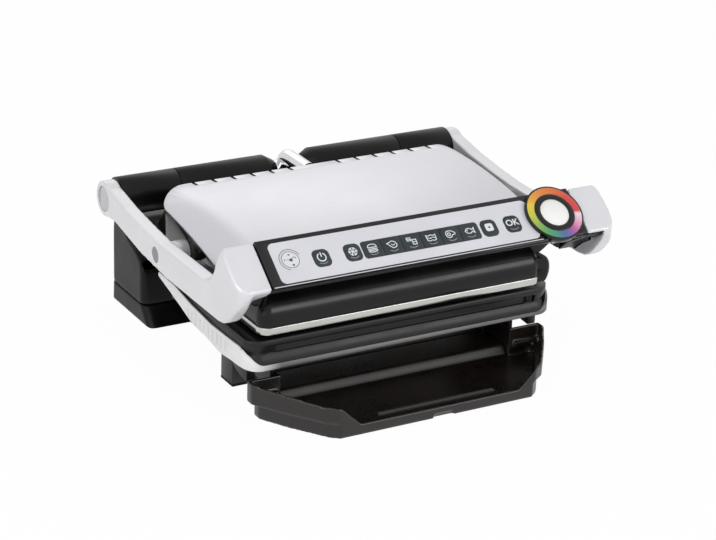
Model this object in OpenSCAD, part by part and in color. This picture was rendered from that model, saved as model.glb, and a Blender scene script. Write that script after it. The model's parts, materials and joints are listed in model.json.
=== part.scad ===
// Electric contact grill with a hinged, floating upper plate.
// X runs across the grill, -Y is the front, Z is up and the counter is z = 0.

/* [Overall] */
// Width over the two arms
arm_span = 360; // [340:1:390]
// Height of the hinge axis above the counter
hinge_z = 127; // [124:0.5:132]
// Distance of the hinge axis behind the grill's centre
hinge_y = 103; // [101:0.5:106]

/* [Arms] */
// Thickness of one arm
arm_t = 13; // [11:0.5:15]
// Height of the arm's underside
arm_z0 = 100.5; // [98:0.5:103]
// Depth of the arm from top to bottom
arm_h = 26; // [23:0.5:28]
// Radius of the round rear end of the arm
cap_r = 16; // [14:0.5:17]
// Width of the silver end block beside the panel
block_w = 30; // [26:0.5:34]

/* [Hinge] */
// Radius of the black hinge barrel
barrel_r = 17.5; // [15:0.5:18]
// Width of the barrel's end pieces
barrel_end_w = 56; // [50:1:64]
// Half the gap in the middle of the barrel
barrel_gap = 15; // [13:0.5:20]
// Radius of the steel hinge rod
rod_r = 4; // [3:0.5:6]
// Radial running clearance on the rod and on the pivots
run_gap = 0.05; // [0.03:0.01:0.09]
// Radius of the chrome cable conduit
conduit_r = 7.75; // [5:0.25:8]

/* [Pedestal] */
// How far the pedestal's sides stand in from the lower housing's
pedestal_inset = 7.5; // [2:0.5:14]
// Rear face of the pedestal behind the grill's centre
pedestal_back = 173.5; // [168:0.5:174]
// Front face of the pedestal behind the grill's centre
pedestal_front = 101.5; // [99:0.5:104]
// Height of the pedestal's lower band
band_h = 18; // [14:0.5:22]
// How far the lower band's toe reaches forward
toe = 14; // [4:0.5:18]

/* [Lower half] */
// How far the silver skirt's sides stand in from the cover's
base_inset = 2.5; // [0:0.5:6]
// Distance from the plates' front edge to the lower housing's front face
front_wall = 9.5; // [8:0.5:12]
// Height of the lower housing's rim
rim_z = 71; // [69:0.5:72]
// Wall of the plastic housings
wall = 2.5; // [2:0.1:3]

/* [Plates] */
// How far a cooking plate's ends stand in from the polished band's
plate_inset = 5; // [4:0.5:12]
// Depth of a cooking plate
plate_d = 154; // [144:1:155]
// Number of ribs on a plate
rib_count = 22; // [10:1:24]
// Height of a rib
rib_h = 3; // [2:0.25:3.5]
// Gap between the ribs of the two plates when the lid is shut
plate_gap = 7; // [6:0.5:8]

/* [Head] */
// Gap between the steel cover and each arm
side_gap = 14.5; // [12:0.5:18]
// How far the polished band stands in from the cover's sides
band_inset = 15.5; // [14:0.5:18]
// Rear edge of the cover behind the centre
cover_back = 54.5; // [50:0.5:58]
// Height of the cover's rear edge
cover_z = 149; // [145:0.5:152]
// Thickness of the cover sheet
cover_t = 1.6; // [1:0.1:2]
// Height of the polished band
trim_h = 6.5; // [5:0.5:8]

/* [Control panel] */
// Height of the panel's rear edge
panel_z = 163.8; // [161:0.1:166]
// How far the panel's rear edge stands ahead of the head
panel_ahead = 7.4; // [6:0.1:9]
// Slope of the panel
panel_slope = 37; // [33:0.5:41]
// Length of the panel down its slope
panel_len = 45; // [43:0.5:48]
// Width of one key
key_w = 15; // [12:0.5:16]
// Height of one key
key_h = 16; // [12:0.5:17]
// Distance between two programme keys
key_pitch = 18.5; // [17.5:0.1:19]
// Travel of a key
key_travel = 0.8; // [0.4:0.1:1]
// Outer radius of the indicator ring
ring_r = 26.5; // [24:0.5:27]

/* [Drip tray] */
// How far the drip tray's sides stand in from the skirt's
tray_inset = 6.5; // [4:0.5:9]
// How far the drip tray's front edge stands ahead of the lower housing
tray_ahead = 58; // [53:0.5:62]
// Rear edge of the drip tray ahead of the centre
tray_back = 62; // [58:1:70]
// Height of the tray's side walls
tray_h = 33; // [30:0.5:34]
// Height of the tray's low front edge
tray_lip = 10; // [8:0.5:13]

/* [Hidden] */
$fn = 48;
eps = 0.01;

silver = "#c9cacf";
steel = "#d6d7dc";
black = "#1d1c1c";
dark_grey = "#3a3a3c";

arm_x1 = arm_span / 2;
arm_x0 = arm_x1 - arm_t;
arm_z1 = arm_z0 + arm_h;
half_cover = arm_x0 - side_gap;
half_head = half_cover - band_inset;
half_base = half_cover - base_inset;
plate_w = 2 * (half_head - plate_inset);
seam_x = arm_x0 - barrel_end_w;
handle_half = arm_x1 - block_w;
plate_back = 46;
plate_front = plate_back - plate_d;
base_front = front_wall - plate_front;
head_front = base_front - 0.5;
panel_y = head_front + panel_ahead;
tray_front = base_front + tray_ahead;
seat_gap = 0.3;

// ---- helpers ----
// A side outline, drawn as (y, z), carried from x0 to x1.
module along_x(x0, x1) translate([x0, 0, 0]) rotate([90, 0, 90]) linear_extrude(x1 - x0) children();
// A front outline, drawn as (x, z), carried from y0 to y1.
module along_y(y0, y1) translate([0, y1, 0]) rotate([90, 0, 0]) linear_extrude(y1 - y0) children();
// A cylinder along X.
module rod_x(r, x0, x1) translate([x0, 0, 0]) rotate([0, 90, 0]) cylinder(r = r, h = x1 - x0);
// A rectangle with true round corners.
module soft_rect(w, h, r) {
    square([w - 2 * r, h], center = true);
    square([w, h - 2 * r], center = true);
    for (sx = [-1, 1], sy = [-1, 1])
        translate([sx * (w / 2 - r), sy * (h / 2 - r)]) circle(r);
}
// A plan rectangle from y0 to y1 whose front corners are round.
module round_front(half_w, y0, y1, r) {
    translate([-half_w, y0 + r]) square([2 * half_w, y1 - y0 - r]);
    translate([-half_w + r, y0]) square([2 * (half_w - r), y1 - y0]);
    for (s = [-1, 1]) translate([s * (half_w - r), y0 + r]) circle(r);
}
// Both hands of a piece.
module both_sides() {
    children();
    mirror([1, 0, 0]) children();
}

// ---- pedestal ----
pedestal_half = half_base - pedestal_inset;
pedestal_w = 2 * pedestal_half;
rear_draft = 4;
pedestal_top = 84;
neck_w = 2 * seam_x - 2;
// A place in the pedestal's depth: 0 is its front face and 1 its rear face.
function deep(part) = pedestal_front + part * (pedestal_back - pedestal_front);
module pedestal_side() polygon([
    [pedestal_front, band_h], [deep(0.04), 50], [deep(0.11), 60],
    [deep(0.28), 67], [deep(0.47), 72], [deep(0.67), pedestal_top],
    [pedestal_back - rear_draft - 8, pedestal_top], [pedestal_back - rear_draft, pedestal_top - 8],
    [pedestal_back, band_h]]);
module pedestal() color(black) difference() {
    union() {
        intersection() {
            along_x(-pedestal_half, pedestal_half) pedestal_side();
            translate([0, (pedestal_front + pedestal_back) / 2, 0])
                linear_extrude(pedestal_top) soft_rect(pedestal_w, pedestal_back - pedestal_front, 8);
        }
        along_x(-neck_w / 2, neck_w / 2) polygon([[pedestal_front, 60], [pedestal_front, hinge_z - 8],
            [deep(0.22), hinge_z - 8], [deep(0.58), pedestal_top - 4], [deep(0.58), 60]]);
    }
    translate([-pedestal_half + wall, pedestal_front + wall + 3, band_h - eps])
        cube([pedestal_w - 2 * wall, pedestal_back - pedestal_front - rear_draft - 2 * wall - 8, 40]);
    translate([0, hinge_y, hinge_z]) rod_x(barrel_r, -pedestal_half, pedestal_half);
    translate([gland_x, pedestal_back + 5, gland_z]) rotate([90, 0, 0]) cylinder(r = gland_r, h = 20);
}
module pedestal_base() color(black) difference() {
    along_x(-pedestal_half, pedestal_half) polygon([[pedestal_front - toe, foot_h],
        [pedestal_front, band_h], [pedestal_back, band_h], [pedestal_back + 1, foot_h]]);
    translate([-pedestal_half + 6, pedestal_front + 6, 6]) cube([pedestal_w - 12,
        pedestal_back - pedestal_front - 12, band_h]);
    for (s = [-1, 1]) {
        translate([s * foot_x, foot_rear_y, 0]) cylinder(r = foot_r, h = 3);
        for (y = screw_ys) translate([s * screw_x, y, 0]) cylinder(r = 3, h = 20);
    }
}
foot_h = 1;
foot_r = 8;
foot_x = pedestal_half - 24.5;
foot_rear_y = pedestal_back - 14;
screw_x = pedestal_half - 62.5;
screw_ys = [pedestal_front + 10, pedestal_back - 16];
module rear_feet() color("#262626") for (s = [-1, 1])
    translate([s * foot_x, foot_rear_y, 0]) cylinder(r = foot_r, h = 3);
module base_screws() color("#8f8f92") for (s = [-1, 1], y = screw_ys) translate([s * screw_x, y, 1.5]) {
    difference() {
        cylinder(r = 2.9, h = 2.5);
        translate([-2, -0.4, -eps]) cube([4, 0.8, 1]);
        translate([-0.4, -2, -eps]) cube([0.8, 4, 1]);
    }
    translate([0, 0, 2.5]) cylinder(r = 1.6, h = band_h - 4);
}
gland_x = pedestal_half - 47.5;
gland_z = 38;
gland_r = 8;
gland_flange = 11;
module cord_gland() color("#151515") translate([gland_x, 0, gland_z]) rotate([-90, 0, 0]) difference() {
    union() {
        translate([0, 0, pedestal_back - 14]) cylinder(r = gland_r, h = 14);
        translate([0, 0, pedestal_back]) cylinder(r = gland_flange, h = 2);
    }
    translate([0, 0, pedestal_back - 15]) cylinder(r = 3.6, h = 20);
}
board_t = 1.6;
supply_w = 110;
supply_d = pedestal_back - pedestal_front - 30;
supply_y = pedestal_front + 16;
supply_z = 24;
module power_board() color("#2f6b3c") {
    translate([-70, supply_y, supply_z]) cube([supply_w, supply_d, board_t]);
    for (x = [-60, 25], y = [6, supply_d - 8]) translate([x, supply_y + y, 6]) cylinder(r = 2.5, h = supply_z - 6);
    translate([-50, supply_y + 8, supply_z + board_t]) cube([16, supply_d / 2, 15]);
    translate([-20, supply_y + 8, supply_z + board_t]) cube([28, supply_d * 0.6, 20]);
    translate([18, supply_y + 8, supply_z + board_t]) cylinder(r = 6, h = 18);
}

// ---- hinge ----
module barrel_half() translate([0, hinge_y, hinge_z]) difference() {
    union() {
        rod_x(barrel_r, barrel_gap + 9, seam_x);
        translate([barrel_gap, 0, 0]) rotate([0, 90, 0])
            cylinder(r1 = barrel_r - 5, r2 = barrel_r, h = 9);
    }
    rod_x(rod_r, 0, seam_x + 1);
}
module barrel_left() color(black) mirror([1, 0, 0]) barrel_half();
module barrel_right() color(black) barrel_half();
module hinge_rod() color("#a8a8aa") translate([0, hinge_y, hinge_z]) rod_x(rod_r, -arm_x0 + seat_gap, arm_x0 - seat_gap);
module barrel_end() translate([0, hinge_y, hinge_z]) difference() {
    rod_x(barrel_r, seam_x + 0.5, arm_x0);
    rod_x(rod_r + run_gap, 0, arm_x0 + 1);
}
module barrel_end_left() color(black) mirror([1, 0, 0]) barrel_end();
module barrel_end_right() color(black) barrel_end();

// ---- lower half ----
belly_z = 46;
skirt_t = 1.5;
housing_half = half_base - skirt_t;
rim_lean = 1.5;
housing_back = plate_back + 11;
plate_t = 4;
lower_plate_z = rim_z - 7;
pocket_clear = 0.5;
well_inset = 6;
well_floor = 52;
neck_half = 105;
neck_top = 92;
drain_half = 20;
drain_y = plate_front + 12;
drain_w = 7;
module belly_side() polygon([[-base_front, belly_z], [-base_front + 27.5, belly_z], [-15, belly_z + 3.5],
    [32, belly_z + 14], [housing_back, rim_z - 6], [housing_back, rim_z], [-base_front, rim_z]]);
module base_plan(inset) round_front(half_base - inset, -base_front + inset, housing_back, 16);
// The pocket that takes a plate and, deeper, the well for its heater.
module plate_pocket(z0, z1, well_z0, well_z1) {
    translate([-plate_w / 2 - pocket_clear, plate_front - pocket_clear, z0])
        cube([plate_w + 2 * pocket_clear, plate_d + 2 * pocket_clear, z1 - z0]);
    translate([-plate_w / 2 + well_inset, plate_front + well_inset, well_z0])
        cube([plate_w - 2 * well_inset, plate_d - 2 * well_inset, well_z1 - well_z0]);
}
module drain_slot() translate([-drain_half, drain_y - drain_w / 2, 20]) cube([2 * drain_half, drain_w, 60]);
module lower_housing() color(dark_grey) difference() {
    union() {
        intersection() {
            along_x(-housing_half, housing_half) belly_side();
            linear_extrude(rim_z) base_plan(skirt_t);
            along_y(-base_front, housing_back) polygon([[-housing_half, belly_z], [housing_half, belly_z],
                [housing_half, rim_z - 8], [housing_half - rim_lean, rim_z],
                [rim_lean - housing_half, rim_z], [-housing_half, rim_z - 8]]);
        }
        translate([-rail_x, -base_front + 27.5, belly_z])
            cube([2 * rail_x, base_front - 32.5 + housing_back, rim_z - 2 - belly_z]);
        translate([-neck_half, housing_back - 1, rim_z - 10])
            cube([2 * neck_half, pedestal_front - housing_back + 1, neck_top - rim_z + 10]);
    }
    plate_pocket(lower_plate_z - plate_t, rim_z + 5, well_floor, rim_z + 5);
    translate([-neck_half + 4, housing_back + 4, rim_z - 7])
        cube([2 * neck_half - 8, pedestal_front - housing_back, neck_top - rim_z + 4]);
    translate([-groove_half, -housing_front - eps, groove_z]) cube([2 * groove_half, groove_d, groove_h]);
    translate([release_x - 0.3, -housing_front - eps, groove_z])
        cube([release_w + release_travel + 0.6, groove_d + release_d, groove_h]);
    drain_slot();
}
housing_front = base_front - skirt_t;
groove_z = 58;
groove_h = 7;
groove_d = 2.5;
groove_half = half_base - 28;
release_w = 5;
release_x = half_base - 26.5;
release_d = 2.5;
release_travel = 2;
module lower_release() color("#101010") translate([release_x, -housing_front + groove_d - 0.6, groove_z + 0.3])
    cube([release_w, release_d + 0.3, groove_h - 0.6]);

module skirt_band() polygon([[54, rim_z], [23, rim_z - 0.4], [-10, rim_z - 5.1], [-49, rim_z - 8.2],
    [-base_front + 40.5, rim_z - 7.8], [-base_front + 16.5, rim_z - 7], [-base_front + 11, rim_z - 9.5],
    [-base_front + 6, rim_z - 14], [-base_front + 3, rim_z - 19], [-base_front + 1.2, rim_z - 22.5],
    [-base_front, rim_z - 23.5], [-base_front, belly_z - 1.5], [-base_front + 12.5, belly_z + 0.6], [-base_front + 28.5, belly_z],
    [-base_front + 49.5, belly_z - 1.8], [-40, belly_z + 2],
    [-14, belly_z + 3.4], [10, belly_z + 10.4], [32, belly_z + 16.3], [54, rim_z - 3]]);
module housing_skirt() color("#e4e5e7") difference() {
    intersection() {
        along_x(-half_base, half_base) skirt_band();
        linear_extrude(rim_z) base_plan(0);
    }
    linear_extrude(rim_z + 1) base_plan(skirt_t);
    for (s = [-1, 1], i = [0 : 9]) translate([s * half_base - vent_d, -78 + i * 8, belly_z + 4])
        cube([2 * vent_d, 1, 10]);
}
vent_d = 0.4;
rail_z = 30.6;
rail_half = 4;
guide_x = half_base - 34.7;
rail_x = half_base - 12;
leg_x = half_base - 38;
leg_y = -base_front + 77.5;
module belly_pan() color("#232324") difference() {
    union() {
        translate([-half_base + 8, -base_front + 8, belly_z - 3.5]) cube([2 * half_base - 16, 80, 3.5]);
        for (s = [-1, 1]) along_x(s * rail_x - rail_half, s * rail_x + rail_half) polygon([
            [-base_front + 16, belly_z - 2], [-base_front + 16, rail_z], [-base_front + 26, rail_z + 0.6],
            [-base_front + 35, rail_z + 2.6], [-base_front + 41, rail_z + 5.6], [-base_front + 47, belly_z - 2]]);
        for (s = [-1, 1]) translate([s * (guide_x + 2) - 2, -base_front + 17.5, 20])
            cube([4, 45, belly_z - 22]);
    }
    drain_slot();
}
module front_legs() color("#232324") for (s = [-1, 1]) translate([s * leg_x, leg_y, 0]) difference() {
    translate([-16, -8, 2]) cube([32, 22, belly_z - 3.5 - 2]);
    translate([-13.5, -5.5, 1]) cube([27, 17, belly_z - 3.5 - 4]);
}
module front_feet() color("#262626") for (s = [-1, 1]) translate([s * leg_x, leg_y, 0])
    translate([-16, -8, 0]) cube([32, 22, 2]);

// ---- plates and heaters ----
upper_plate_z = lower_plate_z + 2 * rib_h + plate_gap;
rib_pitch = (plate_w - 24) / (rib_count - 1);
module rib_row(d) for (i = [0 : rib_count - 1])
    translate([-(rib_count - 1) * rib_pitch / 2 + i * rib_pitch, 0, 0]) along_y(plate_front + d, plate_back - 8)
        polygon([[-1.8, -eps], [1.8, -eps], [0.8, rib_h], [-0.8, rib_h]]);
module plate_dish() difference() {
    translate([0, (plate_front + plate_back) / 2, -plate_t]) linear_extrude(plate_t + 2)
        soft_rect(plate_w, plate_d, 12);
    translate([0, (plate_front + plate_back) / 2, 0]) linear_extrude(3)
        soft_rect(plate_w - 6, plate_d - 6, 10);
}
module lower_plate() color("#3b3c3e") difference() {
    translate([0, 0, lower_plate_z]) {
        plate_dish();
        rib_row(22);
    }
    drain_slot();
}
module upper_plate() color("#3b3c3e") translate([0, 0, upper_plate_z]) mirror([0, 0, 1]) {
    plate_dish();
    rib_row(8);
}
heater_r = 3.3;
heater_half = 100;
heater_bend = 35;
heater_y = (plate_front + plate_back) / 2;
module heater() {
    for (s = [-1, 1]) translate([0, heater_y + s * heater_bend, 0]) rod_x(heater_r, -heater_half, heater_half - 25);
    translate([heater_half - 25, heater_y, 0]) rotate([0, 0, -90])
        rotate_extrude(angle = 180) translate([heater_bend, 0]) circle(heater_r);
}
module lower_heater() color("#77787a") translate([0, 0, lower_plate_z - plate_t - heater_r]) heater();
module upper_heater() color("#77787a") translate([0, 0, upper_plate_z + plate_t + heater_r]) heater();

// ---- drip tray ----
tray_half = half_base - tray_inset;
tray_wall = 2.5;
tray_step = 14;
tray_floor = 3;
tray_front_floor = 7;
fold_y = tray_front - 70.5;
stub_back = fold_y - 0.5;
tail_half = tray_half - 28.5;
lip_x0 = -74;
lip_x1 = 80;
lip_slant = 18;
bead_r = 2.5;
// The tray's plan, drawn in by g all round; its sides stand in by side_in.
function tray_right(side_in, g) = [
    [tail_half - g, -tray_back - g], [tail_half - g, -stub_back - g], [tray_half - side_in - g, -stub_back - g],
    [tray_half - side_in - g, -tray_front + 62 + g * 0.3], [tray_half - 16.5 - side_in * 0.8 - g, -tray_front + 36 + g * 0.4],
    [tray_half - 37.5 - side_in * 0.7 - g * 0.9, -tray_front + 7 + g * 0.6],
    [tray_half - 48.5 - side_in * 0.3 - g * 0.5, -tray_front + g]];
module tray_plan(side_in, g) let (r = tray_right(side_in, g))
    polygon(concat(r, [for (i = [len(r) - 1 : -1 : 0]) [-r[i][0], r[i][1]]]));
module drip_tray() color("#1b1a1a") difference() {
    union() {
        difference() {
            union() {
                linear_extrude(tray_step) tray_plan(7, 0);
                translate([0, 0, tray_step]) linear_extrude(tray_h - tray_step) tray_plan(0, 0);
            }
            intersection() {
                union() {
                    linear_extrude(tray_step + tray_wall + eps) tray_plan(7, tray_wall);
                    translate([0, 0, tray_step + tray_wall]) linear_extrude(tray_h) tray_plan(0, tray_wall);
                }
                along_x(-tray_half, tray_half) polygon([[-tray_front, tray_front_floor],
                    [-fold_y - 5, tray_front_floor], [-fold_y + 3, tray_floor], [-tray_back, tray_floor],
                    [-tray_back, 2 * tray_h], [-tray_front, 2 * tray_h]]);
            }
        }
        translate([0, -tray_front + 15.5, tray_front_floor]) rod_x(bead_r, -50, 62);
        for (s = [-1, 1]) translate([s * (tray_half + tail_half) / 2, -stub_back - tray_wall - 1, tray_step + 3])
            cube([tray_half - tail_half - 2, 5, 6], center = true);
    }
    along_y(-tray_front - 1, -tray_front + 57) polygon([[-tray_half - 1, tray_h - 1], [-tray_half + 17, tray_h - 2],
        [lip_x0 - lip_slant, tray_h - 6], [lip_x0, tray_lip], [lip_x1, tray_lip],
        [lip_x1 + lip_slant, tray_h - 6], [tray_half - 17, tray_h - 2], [tray_half + 1, tray_h - 1],
        [tray_half + 1, 2 * tray_h], [-tray_half - 1, 2 * tray_h]]);
    translate([-4, -tray_front - 1, -1]) cube([19, 3, 5]);
}

// ---- arms ----
pivot_y = -3;
pivot_z = 113.3;
pin_r = 4;
panel_drop = panel_len * sin(panel_slope);
panel_run = panel_len * cos(panel_slope);
nose_y = -panel_y - panel_run;
nose_z = panel_z - panel_drop;
module arm_side() {
    translate([hinge_y, hinge_z]) circle(cap_r);
    polygon([[hinge_y - 10, hinge_z + cap_r * 0.78], [58, arm_z1 + 6.5], [22, arm_z1 + 2.5],
        [-10, arm_z1], [-panel_y + 28.4, arm_z1], [-panel_y + 20.4, arm_z1 + 2],
        [-panel_y + 14.4, arm_z1 + 6], [-panel_y + 9.4, arm_z1 + 14], [-panel_y + 2, panel_z - 6], [-panel_y, panel_z], [nose_y, nose_z], [nose_y + 0.2, nose_z - 3],
        [nose_y + 1.4, nose_z - 7], [nose_y + 5, nose_z - 13], [nose_y + 9.5, nose_z - 19],
        [nose_y + 14, nose_z - 24], [nose_y + 18, nose_z - 28.5], [nose_y + 22, arm_z0 + 4.5],
        [nose_y + 25.5, arm_z0 + 2.3], [nose_y + 29, arm_z0 + 1], [nose_y + 37, arm_z0],
        [-21, arm_z0 + 0.3], [26, arm_z0 + 4], [80, hinge_z - 13.2], [hinge_y - 7, hinge_z - cap_r * 0.9]]);
}
// The end block beside the panel; its underside is higher than the arm's.
module block_side() intersection() {
    arm_side();
    polygon([[nose_y - 1, nose_z], [nose_y, nose_z], [nose_y + 1.4, nose_z - 3.5], [nose_y + 8, nose_z - 8.6],
        [nose_y + 18.3, nose_z - 14.3], [nose_y + 32, nose_z - 22.2], [nose_y + 40.7, nose_z - 30],
        [block_back, nose_z - 33], [block_back, 2 * panel_z], [nose_y - 1, 2 * panel_z]]);
}
block_back = -panel_y + 8;
module arm_body() difference() {
    intersection() {
        union() {
            along_x(arm_x0, arm_x1) arm_side();
            along_x(arm_x1 - block_w, arm_x1) block_side();
            translate([arm_x0 - ledge_w + 3, ledge_y0, arm_z0]) cube([ledge_w, ledge_y1 - ledge_y0, ledge_t]);
            translate([arm_x0 - ledge_w + 3, ledge_y0, arm_z0]) cylinder(r = 3, h = ledge_t);
            translate([arm_x0 - ledge_w, ledge_y0, arm_z0]) cube([ledge_w, ledge_y1 - ledge_y0, ledge_t]);
        }
        translate([0, 0, 50]) linear_extrude(200) round_front(arm_x1, nose_y - 1, hinge_y + 30, 14);
        along_y(nose_y - 5, hinge_y + 30) translate([0, panel_z / 2]) soft_rect(arm_span, panel_z + 1, 9);
    }
    translate([0, pivot_y, pivot_z]) rod_x(pin_r, arm_x0 - 1, arm_x1);
    translate([0, pivot_y, pivot_z]) rod_x(screw_r + 0.2, arm_x1 - 4, arm_x1 + 1);
    translate([0, hinge_y, hinge_z]) rod_x(cap_disc_r, arm_x1 - 1.5, arm_x1 + 1);
}
screw_r = 6.5;
cap_disc_r = 11;
ledge_w = 10.5;
ledge_t = 2.5;
ledge_y0 = -panel_y + 19.4;
ledge_y1 = -12;
wedge_x1 = arm_x1 - 10;
// The black underside that the handle carries on below the right end block.
module wedge_side() polygon([[nose_y + 1.3, nose_z - 3.2], [nose_y + 20.3, nose_z - 5.7],
    [nose_y + 22.3, nose_z - 16.4], [nose_y + 18.3, nose_z - 14.3], [nose_y + 8, nose_z - 8.6],
    [nose_y + 1.4, nose_z - 3.5]]);
module left_arm() color(silver) mirror([1, 0, 0]) arm_body();
module right_arm() color(silver) difference() {
    arm_body();
    ring_place() translate([0, 0, -8]) cylinder(r = ring_r + 0.3, h = 20);
    along_x(handle_half - 1, wedge_x1) wedge_side();
}
module hinge_caps() color("#bcbdc2") both_sides() translate([0, hinge_y, hinge_z])
    rod_x(cap_disc_r, arm_x1 - 1.5, arm_x1 - 0.6);
module arm_screws() color("#9a9ba0") both_sides() translate([0, pivot_y, pivot_z])
    rod_x(screw_r, arm_x1 - 4, arm_x1 - 1);
module pivot_pins() color("#a8a8aa") both_sides() translate([0, pivot_y, pivot_z])
    rod_x(pin_r, boss_x0 + 0.3, arm_x1 - 4);
module conduit() color("#dddddd") {
    difference() {
        union() {
            translate([0, hinge_y, hinge_z]) rod_x(11, -barrel_gap + 1.5, barrel_gap - 1.5);
            translate([conduit_x, hinge_y, hinge_z]) cylinder(r = conduit_r, h = conduit_up - conduit_bend);
        }
        translate([0, hinge_y, hinge_z]) rod_x(rod_r + run_gap, -30, 30);
    }
    translate([conduit_x, hinge_y - conduit_bend, hinge_z + conduit_up - conduit_bend]) rotate([90, 0, 90])
        rotate_extrude(angle = 90) translate([conduit_bend, 0]) circle(conduit_r);
    translate([conduit_x, hinge_y - conduit_bend, hinge_z + conduit_up]) rotate([90, 0, 0])
        cylinder(r = conduit_r, h = hinge_y - conduit_bend - cover_back - 2.4);
}
conduit_x = -2;
conduit_up = 14.5;
conduit_bend = 9;

// ---- control panel and handle ----
// The panel's own frame: origin at the middle of its rear edge, +Y up the slope, +Z outwards.
module on_panel() translate([0, -panel_y, panel_z]) rotate([panel_slope, 0, 0]) children();
bezel_half = handle_half - 1;
bezel_t = 3;
overlay_t = 1;
overlay_left = bezel_half - 9;
overlay_right = bezel_half - 45;
ring_x = bezel_half - 24;
overlay_top = 4.2;
overlay_low = 42.4;
key_y = -25;
key_gap = 0.2;
key_low = -4;
key_high = 0.4;
ring_y = -22.8;
board_z = -9;
ok_x = ring_x - ring_r - key_w - 0.5;
manual_x = ok_x - key_w - 7.8;
strip_x0 = manual_x - 6 * key_pitch - 0.6;
frozen_x = strip_x0 - key_w - 3.1;
power_x = frozen_x - key_w - 13.5;
key_list = concat([[power_x, key_w], [frozen_x, key_w]],
    [for (i = [0 : 5]) [strip_x0 + i * key_pitch, key_pitch - 2 * key_gap]],
    [[manual_x, key_w], [ok_x, key_w]]);
module key_outline(k, g) translate([key_list[k][0], key_y])
    if (k > 1 && k < 8) square([key_list[k][1] + 2 * g, key_h + 2 * g], center = true);
    else soft_rect(key_list[k][1] + 2 * g, key_h + 2 * g, 5);
module key(k) color("#3d4448") on_panel() translate([0, 0, key_low])
    linear_extrude(key_high - key_low) key_outline(k, 0);
module key_holes() for (k = [0 : len(key_list) - 1])
    translate([0, 0, -20]) linear_extrude(30) key_outline(k, key_gap);
module ring_place() on_panel() translate([ring_x, ring_y, 0]) children();
module power_key() key(0);
module frozen_key() key(1);
module program_key_1() key(2);
module program_key_2() key(3);
module program_key_3() key(4);
module program_key_4() key(5);
module program_key_5() key(6);
module program_key_6() key(7);
module manual_key() key(8);
module ok_key() key(9);
module overlay_outline() translate([(overlay_right - overlay_left) / 2, -(overlay_top + overlay_low) / 2])
    soft_rect(overlay_right + overlay_left, overlay_low - overlay_top, 5);
module panel_bezel() color("#141416") on_panel() difference() {
    translate([-bezel_half, -panel_len, -bezel_t]) cube([2 * bezel_half, panel_len, bezel_t]);
    translate([0, 0, -overlay_t]) linear_extrude(5) overlay_outline();
    translate([ring_x, ring_y, -10]) cylinder(r = ring_r, h = 20);
    key_holes();
}
module panel_overlay() color("#c9cbcf") on_panel() difference() {
    translate([0, 0, -overlay_t]) linear_extrude(overlay_t) overlay_outline();
    translate([ring_x, ring_y, -10]) cylinder(r = ring_r, h = 20);
    key_holes();
}
ring_top = 3;
ring_seat = 1;
colour_r1 = ring_r - 1.5;
colour_r0 = ring_r - 8;
lens_r = ring_r - 13.4;
module indicator_bezel() color("#17171a") ring_place() difference() {
    translate([0, 0, -bezel_t]) cylinder(r = ring_r, h = ring_top + bezel_t);
    translate([0, 0, ring_top - ring_seat]) difference() {
        cylinder(r = colour_r1, h = ring_seat + 1);
        translate([0, 0, -1]) cylinder(r = colour_r0, h = ring_seat + 3);
    }
    translate([0, 0, -bezel_t - 1]) cylinder(r = lens_r, h = ring_top + bezel_t + 2);
}
module indicator_ring() color("#d9862b") ring_place() translate([0, 0, ring_top - ring_seat]) difference() {
    cylinder(r = colour_r1, h = ring_seat);
    translate([0, 0, -1]) cylinder(r = colour_r0, h = ring_seat + 2);
}
lens_dome = 3;
lens_sphere = (lens_r * lens_r + lens_dome * lens_dome) / (2 * lens_dome);
module indicator_lens() color("#f4f4f0") ring_place() {
    translate([0, 0, -bezel_t]) cylinder(r = lens_r, h = bezel_t + ring_top);
    intersection() {
        translate([0, 0, ring_top + lens_dome - lens_sphere]) sphere(lens_sphere);
        translate([0, 0, ring_top]) cylinder(r = lens_r, h = lens_dome + 1);
    }
}
switch_h = key_low - key_travel - 0.1 - board_z - board_t;
board_x0 = -bezel_half + 21;
board_x1 = bezel_half - 5;
post_xs = [board_x0 + 8, -10, board_x1 - 9];
module control_board() color("#2f6b3c") on_panel() difference() {
    union() {
        translate([board_x0, -40, board_z]) cube([board_x1 - board_x0, 30, board_t]);
        for (k = key_list) translate([k[0] - 3, key_y - 3, board_z + board_t]) cube([6, 6, switch_h]);
        for (x = post_xs) translate([x, -36, board_z + board_t])
            cylinder(r = 2.5, h = -bezel_t - board_z - board_t);
    }
    for (x = post_xs) translate([x, -36, board_z - 1]) cylinder(r = 1, h = 4);
}
module handle_side(g) polygon([
    [-panel_y + 2 - g, panel_z - 2.6 - g * 1.3], [nose_y + 1.8 + g, nose_z - 2.4 - g * 0.2],
    [nose_y + 2.6 + g, nose_z - 4.6], [nose_y + 10.3 + g * 0.6, nose_z - 8.7 + g],
    [nose_y + 20.3, nose_z - 13.2 + g], [-panel_y - 3 - g, nose_z - 12.2 + g], [-panel_y + 2 - g, nose_z - 8 + g]]);
handle_wall = 3;
module handle_body() color(black) difference() {
    union() {
        along_x(-handle_half, handle_half) handle_side(0);
        along_x(handle_half - 3, wedge_x1) wedge_side();
    }
    along_x(-handle_half + 4, handle_half - 4) handle_side(handle_wall);
    on_panel() translate([-bezel_half, -panel_len - 5, -bezel_t]) cube([2 * bezel_half, panel_len + 10, 20]);
    ring_place() translate([0, 0, -bezel_t - eps]) cylinder(r = ring_r + 0.2, h = 20);
    key_holes_deep();
    on_panel() translate([board_x0 - 1, -42, board_z - 0.5]) cube([board_x1 - board_x0 + 2, 34, 6.6]);
}
module key_holes_deep() on_panel() for (k = [0 : len(key_list) - 1])
    translate([0, 0, -6]) linear_extrude(8) key_outline(k, key_gap);

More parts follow.
